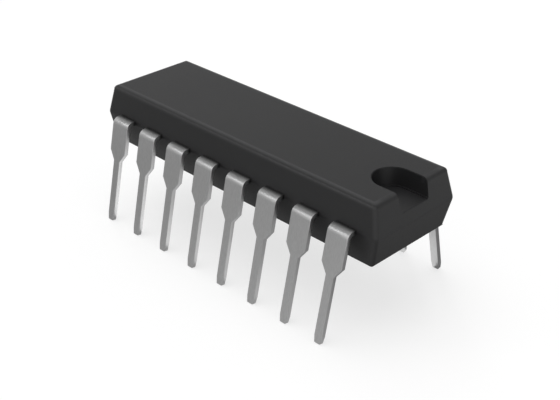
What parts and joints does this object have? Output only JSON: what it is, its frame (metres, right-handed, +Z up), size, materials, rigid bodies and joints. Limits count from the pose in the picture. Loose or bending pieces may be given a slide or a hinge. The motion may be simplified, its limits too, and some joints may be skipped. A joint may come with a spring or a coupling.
{
  "type": "dual in-line integrated circuit chip",
  "caption": "Black moulded package with a notched end and two rows of splayed flat pins, holding a die, paddle, inner fingers and bond wires.",
  "frame": {"origin": "middle of the package, on the plane that the lead tips stand on", "axes": "+X along the package towards the notched end, +Y across it towards leads 1 to 8, +Z up out of the top face"},
  "size_m": [0.0218, 0.0104, 0.0081],
  "materials": {
    "moulding_compound": "matte",
    "tinned_lead": "matte tin plate",
    "copper_alloy": "stamped",
    "die_adhesive": "cured silver-filled epoxy",
    "silicon": "polished",
    "gold_wire": "drawn"
  },
  "bodies": {
    "root": {"body": "moulding_compound", "lead_01": "tinned_lead", "lead_02": "tinned_lead", "lead_03": "tinned_lead", "lead_04": "tinned_lead", "lead_05": "tinned_lead", "lead_06": "tinned_lead", "lead_07": "tinned_lead", "lead_08": "tinned_lead", "lead_09": "tinned_lead", "lead_10": "tinned_lead", "lead_11": "tinned_lead", "lead_12": "tinned_lead", "lead_13": "tinned_lead", "lead_14": "tinned_lead", "lead_15": "tinned_lead", "lead_16": "tinned_lead", "die_paddle": "copper_alloy", "die_attach": "die_adhesive", "die": "silicon", "bond_wire_01": "gold_wire", "bond_wire_02": "gold_wire", "bond_wire_03": "gold_wire", "bond_wire_04": "gold_wire", "bond_wire_05": "gold_wire", "bond_wire_06": "gold_wire", "bond_wire_07": "gold_wire", "bond_wire_08": "gold_wire", "bond_wire_09": "gold_wire", "bond_wire_10": "gold_wire", "bond_wire_11": "gold_wire", "bond_wire_12": "gold_wire", "bond_wire_13": "gold_wire", "bond_wire_14": "gold_wire", "bond_wire_15": "gold_wire", "bond_wire_16": "gold_wire"}
  },
  "joints": []
}
